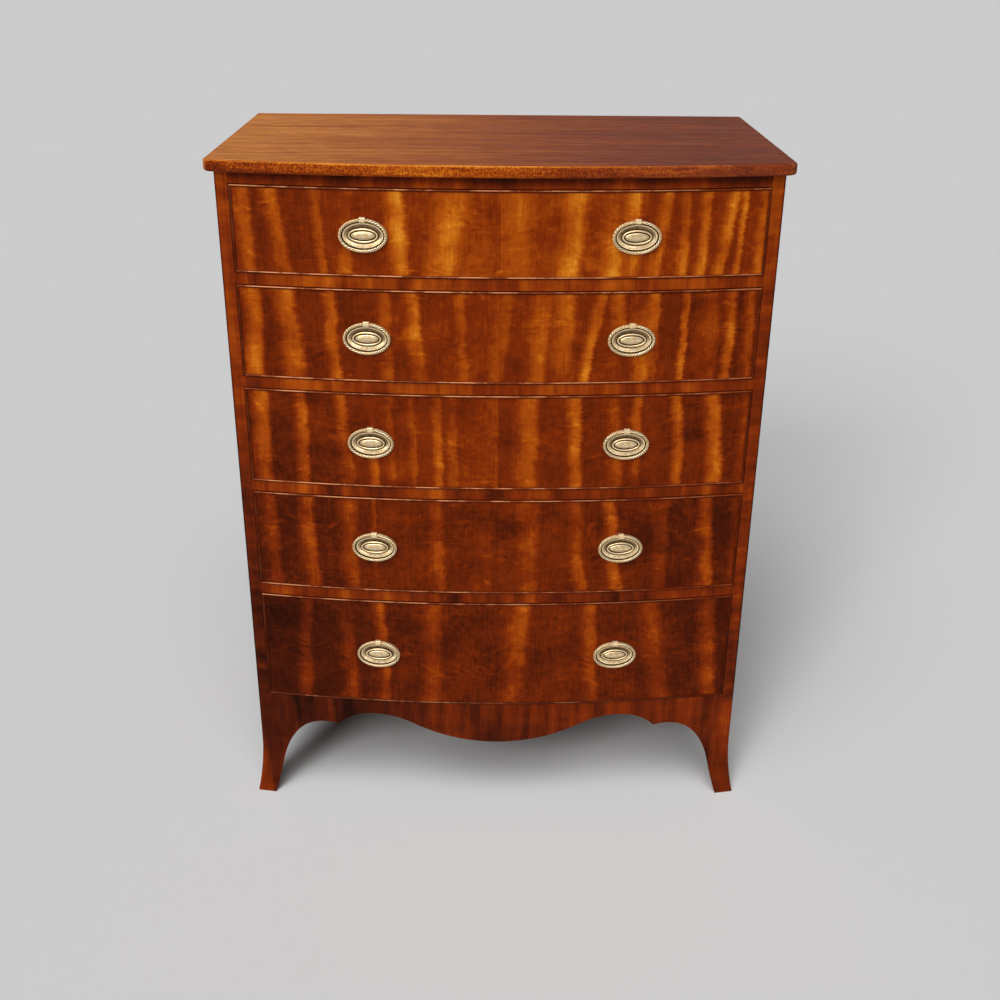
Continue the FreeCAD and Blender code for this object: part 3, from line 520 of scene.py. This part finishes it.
# Four mitred strips with a half-round nose, run round the drawer front and following the bow
def beadMesh(low, high):
    look = beadLook
    half = look["width"] / 2
    section = [(-look["depth"], 0.0, 0.0)]
    for step in range(look["noseSteps"] + 1):
        turn = math.pi * (step / look["noseSteps"] - 0.5)
        section.append((half * math.cos(turn), half + half * math.sin(turn), turn))
    section.append((-look["depth"], look["width"], 0.0))
    corners = ((low.x, low.z), (high.x, low.z), (high.x, high.z), (low.x, high.z))
    inward = ((1, 1), (-1, 1), (-1, -1), (1, -1))
    made = bmesh.new()
    highlights = []
    for side in range(4):
        start, end = corners[side], corners[(side + 1) % 4]
        startIn, endIn = inward[side], inward[(side + 1) % 4]
        level = side % 2 == 0
        steps = look["rimSteps"] if level else 1
        rows = []
        for step in range(steps + 1):
            part = step / steps
            row = []
            for out, across, turn in section:
                firstX, firstZ = (start[axis] + startIn[axis] * across for axis in (0, 1))
                lastX, lastZ = (end[axis] + endIn[axis] * across for axis in (0, 1))
                angle = math.asin((firstX + part * (lastX - firstX)) / bowRadius)
                reach = bowRadius + out
                row.append(made.verts.new((reach * math.sin(angle), bowAxisY - reach * math.cos(angle),
                                           firstZ + part * (lastZ - firstZ))))
                # The painted highlight mark: on the upper side of the nose of the level strips, faint on
                # the upright ones
                lean = turn if side == 0 else -turn
                shine = math.exp(-((lean - look["highlightAt"]) / look["highlightWide"]) ** 2)
                shine = shine if level else look["upright"] * math.cos(turn)
                highlights.append(shine if out > -half else 0.0)
            rows.append(row)
        for first, second in zip(rows, rows[1:]):
            bridge(made, first, second)
        made.faces.new(rows[0])
        made.faces.new(rows[-1])
    return made, highlights


beadFinish = beadMahogany()
for number in flameStripes:
    low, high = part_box(f"drawer_{number}_beading")
    made, highlights = beadMesh(low, high)
    strips = meshFrom(made, f"beadMesh{number}", highlights)
    strips.materials.append(beadFinish)
    for face in strips.polygons:
        face.use_smooth = len(face.vertices) == 4
    strips.set_sharp_from_angle(angle=math.radians(beadLook["sharp"]))
    beads = bpy.data.objects.new(f"drawer_{number}_bead_strips", strips)
    bpy.context.scene.collection.objects.link(beads)
    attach(beads, f"drawer_{number}")
    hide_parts(f"drawer_{number}_beading")
print("carcass finished")


pineLook = {
    "tones": ((0.0, tone(80, 40, 18)), (0.3, tone(130, 78, 38)), (0.7, tone(170, 112, 60)),
              (1.0, tone(198, 142, 84))),
    "gloss": 0.62,
    "specular": 0.1,
}
undersideLook = dict(pineLook, tones=((0.0, tone(36, 25, 16)), (0.3, tone(56, 41, 27)),
                                      (0.7, tone(80, 60, 40)), (1.0, tone(100, 78, 54))))
oakLook = {
    "tones": ((0.0, tone(108, 58, 26)), (0.35, tone(160, 98, 48)), (0.7, tone(196, 132, 70)),
              (1.0, tone(218, 160, 96))),
    "gloss": 0.55,
    "specular": 0.1,
}
sawn = {
    "ground": 0.66,
    "rings": 0.22,           # strength of the rings, the fine grain and the soft clouds
    "fine": 0.3,
    "soft": 0.3,
    "boards": 0.2,           # how much the boards differ
    "joint": 0.45,           # darkness of the joint between two boards, and half its width
    "jointHalf": 0.0014,
    "heartDeep": 0.11,       # how far the heart of the log lies behind the board
    "heartStray": 0.3,
}


# Boards sawn from a log whose heart lies along one axis: rings, grain and a tone for each board
def sawnWood(name, look, along, ringPitch, boardPitch, shift):
    def stretch(lengthwise, crosswise):
        return tuple(lengthwise if axis == along else crosswise for axis in "xyz")

    finish = Finish(name)
    place = dict(zip("xyz", finish.place.axes()))
    first, second = (place[axis] for axis in "xyz" if axis != along)
    warp = finish.grain(stretch(1.5, 9.0), shift)
    board = (first / boardPitch + 0.5).maths("FLOOR")
    across = (first / boardPitch + 0.5).maths("FRACT")
    edge = 0.5 - sawn["jointHalf"] / boardPitch
    joint = abs(across - 0.5).ease(edge, 0.5 - 0.0006 / boardPitch) * sawn["joint"]
    chance = finish.node("TexWhiteNoise", {"noise_dimensions": "1D"}, {"W": board + shift})
    heart = first - (chance - 0.5) * sawn["heartStray"]
    deep = second + sawn["heartDeep"] + warp * 0.05
    radius = (heart * heart + deep * deep).maths("SQRT") + warp * 0.02
    ring = (radius / ringPitch).maths("FRACT")
    line = ring.ease(0.35, 0.95) * (1 - ring.ease(0.95, 1.0))
    fine = finish.grain(stretch(14.0, 420.0), shift + 5, 3.0, 0.6)
    soft = finish.grain(stretch(2.0, 16.0), shift + 9, 3.0)
    value = sawn["ground"] - line * sawn["rings"] + fine * sawn["fine"] + soft * sawn["soft"]
    value = value + (chance - 0.5) * sawn["boards"] - joint
    return paintWood(finish, value.clip(), fine - line * 0.3, look)


dress(sawnWood("backPine", pineLook, "z", 0.006, 0.1688, 1.0), "back_boards")
dress(sawnWood("runnerPine", pineLook, "y", 0.005, 0.9, 11.0), "drawer_runners", "drawer_stops")
dress(sawnWood("dustPine", pineLook, "x", 0.006, 0.16, 14.0), "dust_boards")
dress(sawnWood("undersidePine", undersideLook, "x", 0.006, 0.16, 17.0), "carcass_bottom", "glue_blocks")
for number in flameStripes:
    dress(sawnWood(f"drawerOak{number}", oakLook, "y", 0.0035, 0.5, 20.0 + number * 3),
          f"drawer_{number}_sides")
    dress(sawnWood(f"bottomOak{number}", oakLook, "x", 0.004, 0.14, 50.0 + number * 3),
          f"drawer_{number}_bottom", f"drawer_{number}_back")
print("inside woods finished")


brassLook = {
    "bright": tone(255, 234, 192),
    "worn": tone(250, 210, 152),
    "patina": tone(70, 46, 16),
    "gloss": 0.24,
    "metal": 0.62,
    "lugMetal": 0.45,
    "lugGrime": 0.15,
    "specular": 0.2,
    "scratches": 0.00005,    # their depth
    "uneven": 0.12,          # how much the gloss differs from patch to patch, and under patina
    "patinaRough": 0.3,
}
handle = {
    "column": 0.2075,        # from the middle of the chest, along X
    "ringWidth": 0.076,
    "ringHeight": 0.052,
    "band": 0.005,
    "thickness": 0.0045,
    "pivotOut": 0.00405,     # middle of the ring, in front of the drawer front
    "opening": 0.0051,       # from the middle to each end of the ring
    "pintle": 0.0015,
    "pintleInto": 0.001,     # how far it runs into each end of the ring
    "pintleGrime": 0.7,
    "strands": 3,
    "twist": 0.015,          # length of one full turn of the rope
    "ropeDepth": 0.5,        # depth of its grooves, of half the band, less where hands wear it
    "ropeWear": 0.5,
    "grooveDark": 2.0,       # how dark the grooves are, and how fast that fades up the strands
    "grooveFade": 3.6,
    "ropeSides": 18,
    "ropeSteps": 540,
    "pintleSides": 14,
    "plateInset": 0.0005,
    "plateGap": 0.00005,     # between the plate and the drawer front
    "beads": 70,
    "beadSteps": 6,
    "beadInset": 0.0063,
    "beadRadius": 0.0010,
    "reedRise": 0.00035,
    "reedCrown": 0.5,        # how much of the grime the crowns of the reeds have lost
    "plateGrime": 1.15,
    "lighterBelow": 0.004,    # where the recess begins to be less dark, above the middle of the plate,
    "lighterOver": 0.012,     # how far down that grows, and how much of the grime it takes
    "lighterBy": 0.8,
}


def brass(name, patina, metal):
    look = brassLook
    finish = Finish(name)
    cloud = finish.noise((160, 160, 160), 2.0, 3.0)
    grime = (patina(finish) * (cloud * 0.9 + 0.55)).clip()
    colour = finish.blend(cloud.ease(0.3, 0.7), look["worn"], look["bright"])
    colour = finish.blend(grime, colour, look["patina"])
    scratch = finish.noise((900, 300, 2600), 5.0)
    rough = grime * look["patinaRough"] + cloud * look["uneven"] + (look["gloss"] - look["uneven"] / 2)
    return finish.surface({"Base Color": colour, "Metallic": metal, "Roughness": rough,
                           "Specular IOR Level": look["specular"]}, scratch, look["scratches"], 0.25)


def grooveGrime(finish):
    return finish.node("Attribute", {"attribute_name": "mark"}, {}, "Fac")


def lugGrime(finish):
    return finish.noise((200, 200, 200), 8.0).ease(0.45, 0.75) * brassLook["lugGrime"]


ringBrass = brass("ringBrass", grooveGrime, brassLook["metal"])
plateBrass = brass("plateBrass", grooveGrime, brassLook["metal"])
lugBrass = brass("lugBrass", lugGrime, brassLook["lugMetal"])


# Angles that part an oval's arc from start to end into equal lengths, and the length of that arc
def evenTurns(a, b, start, end, count):
    steps = 4000
    lengths = [0.0]
    for step in range(steps):
        turn = start + (end - start) * (step + 0.5) / steps
        lengths.append(lengths[-1] + math.hypot(a * math.sin(turn), b * math.cos(turn)))
    turns = []
    step = 0
    for index in range(count + 1):
        wanted = lengths[-1] * index / count
        while step < steps and lengths[step + 1] < wanted:
            step += 1
        span = lengths[step + 1] - lengths[step] if step < steps else 1.0
        part = (wanted - lengths[step]) / span
        turns.append(start + (end - start) * (step + part) / steps)
    return turns, lengths[-1] * (abs(end - start) / steps)


def ringMesh():
    a = handle["ringWidth"] / 2 - handle["band"] / 2
    b = handle["ringHeight"] / 2 - handle["band"] / 2
    sides, strands = handle["ropeSides"], handle["strands"]
    start = math.acos(handle["opening"] / a)
    end = start - 2 * math.pi + 2 * (math.pi / 2 - start)
    turns, length = evenTurns(a, b, start, end, handle["ropeSteps"])
    made = bmesh.new()
    grooves = []
    loops = []
    for index, turn in enumerate(turns):
        centre = Vector((a * math.cos(turn), -handle["pivotOut"], b * math.sin(turn)))
        out = Vector((math.cos(turn) / a, 0, math.sin(turn) / b)).normalized()
        walked = length * index / handle["ropeSteps"]
        twisted = 2 * math.pi * strands * walked / handle["twist"]
        kept = 1 - handle["ropeWear"] * max(0.0, -math.sin(turn)) ** 2
        loop = []
        for k in range(sides):
            angle = 2 * math.pi * k / sides
            lobe = abs(math.cos((strands * angle + twisted) / 2))
            full = 1 - handle["ropeDepth"] * kept * (1 - lobe)
            wide = handle["band"] / 2 * full
            deep = handle["thickness"] / 2 * full
            point = centre + out * (wide * math.cos(angle)) + Vector((0, -deep * math.sin(angle), 0))
            loop.append(made.verts.new(point))
            grooves.append(max(0.0, handle["grooveDark"] - lobe * handle["grooveFade"]))
        loops.append(loop)
    for first, second in zip(loops, loops[1:]):
        bridge(made, first, second)
    made.faces.new(loops[0])
    made.faces.new(loops[-1])
    pin = []
    reach = handle["opening"] + handle["pintleInto"]
    for x in (-reach, reach):
        loop = []
        for k in range(handle["pintleSides"]):
            angle = 2 * math.pi * k / handle["pintleSides"]
            loop.append(made.verts.new((x, -handle["pivotOut"] + handle["pintle"] * math.cos(angle),
                                        b + handle["pintle"] * math.sin(angle))))
            grooves.append(handle["pintleGrime"])
        pin.append(loop)
        made.faces.new(loop)
    bridge(made, *pin)
    return meshFrom(made, "ringMesh", grooves)


# Turned profile of the plate: how far in from its edge, how high, what is worked into it and how dark
# it stays. The recess is less dark towards the bottom of the plate.
plateProfile = (
    (0.0, 0.0, "", 0.5), (0.0, 0.0006, "", 0.5), (0.0003, 0.0011, "", 0.5), (0.0010, 0.0013, "", 0.6),
    (0.0040, 0.0013, "", 1.0), (0.0050, 0.0015, "", 1.0), (0.0055, 0.0019, "bead", 1.0),
    (0.0059, 0.0019, "bead", 0.9), (0.0063, 0.0019, "bead", 0.5), (0.0067, 0.0019, "bead", 0.2),
    (0.0071, 0.0019, "bead", 0.1), (0.0075, 0.0021, "", 0.0), (0.0081, 0.0022, "", 0.0),
    (0.0086, 0.0020, "reed", "recess"), (0.0098, 0.0017, "reed", "recess"),
    (0.0110, 0.0013, "reed", "recess"), (0.0122, 0.0009, "reed", 0.9), (0.0132, 0.0006, "", 1.0),
    (0.0138, 0.0008, "", 1.0), (0.0142, 0.0020, "", 0.9), (0.0146, 0.0031, "", 0.1),
    (0.0151, 0.0036, "", 0.0), (0.0158, 0.0038, "", 0.0), (0.0165, 0.0036, "", 0.0),
    (0.0170, 0.0031, "", 0.5), (0.0174, 0.0024, "", 1.0), (0.0178, 0.0019, "", 1.0),
    (0.0184, 0.0018, "", 1.0), (0.0189, 0.0021, "", 1.0), (0.0194, 0.0028, "", 0.3),
    (0.0201, 0.0033, "", 0.0), (0.0208, 0.0036, "", 0.1), (0.0213, 0.0034, "", 0.7),
    (0.0219, 0.0038, "", 0.3), (0.0229, 0.0040, "", 0.1), (0.0240, 0.0041, "", 0.15),
    (0.0249, 0.0041, "", 0.15),
)


def plateMesh():
    a = handle["ringWidth"] / 2 - handle["plateInset"]
    b = handle["ringHeight"] / 2 - handle["plateInset"]
    inset, perBead = handle["beadInset"], handle["beadSteps"]
    count = handle["beads"] * perBead
    turns, length = evenTurns(a - inset, b - inset, 0.0, 2 * math.pi, count)
    pitch = length / handle["beads"]
    made = bmesh.new()
    loops = []
    grime = []
    for within, height, work, dark in plateProfile:
        loop = []
        for k, turn in enumerate(turns[:-1]):
            off = (((k / perBead) + 0.5) % 1.0 - 0.5) * pitch
            wave = abs(math.cos(math.pi * off / pitch))
            lift = 0.0
            crown = 0.0
            if work == "bead":
                lift = math.sqrt(max(0.0, handle["beadRadius"] ** 2 - (within - inset) ** 2 - off ** 2))
            elif work == "reed":
                lift = handle["reedRise"] * (wave - 0.5)
                crown = wave * handle["reedCrown"]
            point = ((a - within) * math.cos(turn), -height - lift - handle["plateGap"],
                     (b - within) * math.sin(turn))
            loop.append(made.verts.new(point))
            lightened = min(1.0, max(0.0, (handle["lighterBelow"] - point[2]) / handle["lighterOver"]))
            stays = 1.0 - handle["lighterBy"] * lightened if dark == "recess" else dark
            grime.append(stays * (handle["plateGrime"] - crown))
        loops.append(loop)
    for first, second in zip(loops, loops[1:]):
        bridge(made, first, second)
    made.faces.new(loops[0])
    made.faces.new(loops[-1])
    return meshFrom(made, "plateMesh", grime)


ring = ringMesh()
ring.materials.append(ringBrass)
plate = plateMesh()
plate.materials.append(plateBrass)


def ontoBow(x, z):
    angle = math.asin(x / bowRadius)
    return (Matrix.Translation((0, bowAxisY, 0)) @ Matrix.Rotation(angle, 4, "Z")
            @ Matrix.Translation((0, -bowRadius, z)))


for number in flameStripes:
    for side, sign in (("left", -1), ("right", 1)):
        node = f"drawer_{number}_{side}_ring"
        low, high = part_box(node)
        where = ontoBow(sign * handle["column"], low.z + handle["ringHeight"] / 2)
        rope = bpy.data.objects.new(f"drawer_{number}_{side}_rope_ring", ring)
        base = bpy.data.objects.new(f"drawer_{number}_{side}_beaded_plate", plate)
        for piece, body, stood in ((rope, node, node),
                                   (base, f"drawer_{number}", f"drawer_{number}_handle_plates")):
            bpy.context.scene.collection.objects.link(piece)
            piece.matrix_world = where
            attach(piece, body)
            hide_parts(stood)
    dress(lugBrass, f"drawer_{number}_handle_posts")
print("handles made")

screwLook = {
    "steel": tone(120, 118, 112),
    "dark": tone(70, 66, 60),
    "gloss": 0.25,
    "metal": 0.9,
}


def screwSteel():
    finish = Finish("screwSteel")
    cloud = finish.noise((240, 240, 240), 1.0, 3.0)
    colour = finish.blend(cloud.ease(0.35, 0.65), screwLook["dark"], screwLook["steel"])
    return finish.surface({"Base Color": colour, "Metallic": screwLook["metal"],
                           "Roughness": cloud * 0.3 + screwLook["gloss"]}, cloud)


dress(screwSteel(), "top_screws")


studio = {
    "floor": 0.80,           # how pale the floor is, and how much that varies
    "floorPatch": 0.005,
    "floorReach": 60.0,
    "skyAbove": 5.8,         # light of the soft box and from everywhere else
    "skyLow": 0.04,
    "boxEnds": 0.855,        # cosines of the angle from its middle, at its rim and where it is full
    "boxFull": 1.035,
    "skyLean": 31.0,         # how far the soft box is to the front of the zenith, degrees
    "skyAround": 12.0,       # and to the left
    "skySeen": 0.6,          # what the camera sees of the sky
    "skyGloss": 0.42,        # how much more of it the polish and the brass show
    "key": 1.13,             # sun-like lamp from the front left
    "keyAngle": 20.0,        # softness of its shadow, degrees
    "keyAround": 25.0,       # to the left of the camera, degrees
    "keyUp": 30.0,           # above the floor, degrees
}


def studioFloor():
    made = bmesh.new()
    reach = studio["floorReach"]
    made.faces.new([made.verts.new((x * reach, y * reach, 0.0))
                    for x, y in ((-1, -1), (1, -1), (1, 1), (-1, 1))])
    floor = bpy.data.objects.new("studio_floor", meshFrom(made, "studioFloor"))
    bpy.context.scene.collection.objects.link(floor)
    finish = Finish("floorPaint")
    patch = finish.noise((3, 3, 3), 1.0)
    darker, paler = ((studio["floor"] + studio["floorPatch"] * way,) * 3 + (1,) for way in (-1, 1))
    floor.data.materials.append(finish.surface({"Base Color": finish.blend(patch, darker, paler),
                                                "Roughness": 1.0, "Specular IOR Level": 0.0}))


studioFloor()


# A wide soft box overhead, a little in front; the background is even where the camera sees it
def studioSky():
    world = bpy.data.worlds.new("studioSky")
    bpy.context.scene.world = world
    finish = Finish("studioSky", world)
    lean, turn = math.radians(studio["skyLean"]), math.radians(studio["skyAround"])
    box = (-math.sin(lean) * math.sin(turn), -math.sin(lean) * math.cos(turn), math.cos(lean))
    toBox = finish.node("VectorMath", {"operation": "DOT_PRODUCT"}, {0: finish.place, 1: box}, "Value")
    lit = toBox.ease(studio["boxEnds"], studio["boxFull"])
    lit = lit * (studio["skyAbove"] - studio["skyLow"]) + studio["skyLow"]
    seen = 0.0
    for ray in ("Is Camera Ray", "Is Transmission Ray"):
        seen = finish.node("LightPath", {}, {}, ray) + seen
    glossy = finish.node("LightPath", {}, {}, "Is Glossy Ray") * studio["skyGloss"]
    strength = lit + glossy + (studio["skySeen"] - lit) * seen.clip()
    back = finish.node("Background", {}, {"Color": (1.0, 1.0, 1.0, 1.0), "Strength": strength})
    finish.node("OutputWorld", {}, {"Surface": back}, None)


studioSky()

key = bpy.data.lights.new("key", "SUN")
key.energy = studio["key"]
key.angle = math.radians(studio["keyAngle"])
lamp = bpy.data.objects.new("key", key)
bpy.context.scene.collection.objects.link(lamp)
around, up = math.radians(studio["keyAround"]), math.radians(studio["keyUp"])
towards = Vector((math.sin(around) * math.cos(up), math.cos(around) * math.cos(up), -math.sin(up)))
lamp.rotation_mode = "QUATERNION"
lamp.rotation_quaternion = towards.to_track_quat("-Z", "Y")

view = {
    "place": (-0.0125, -2.1457, 1.4831),
    "down": 0.4393,          # radians, as are the turn to the right and the roll
    "turn": 0.0084,
    "roll": 0.0087,
    "lens": 45.25,
    "sensor": 36.0,
    "shiftY": 0.01118,
}
camera = bpy.data.cameras.new("camera")
camera.lens = view["lens"]
camera.sensor_width = view["sensor"]
camera.sensor_fit = "HORIZONTAL"
camera.shift_y = view["shiftY"]
cameraObject = bpy.data.objects.new("camera", camera)
bpy.context.scene.collection.objects.link(cameraObject)
aim = (Matrix.Rotation(-view["turn"], 4, "Z") @ Matrix.Rotation(math.pi / 2 - view["down"], 4, "X")
       @ Matrix.Rotation(view["roll"], 4, "Z"))
cameraObject.matrix_world = Matrix.Translation(view["place"]) @ aim
bpy.context.scene.camera = cameraObject
bpy.context.scene.view_settings.view_transform = "Standard"
print("studio ready")
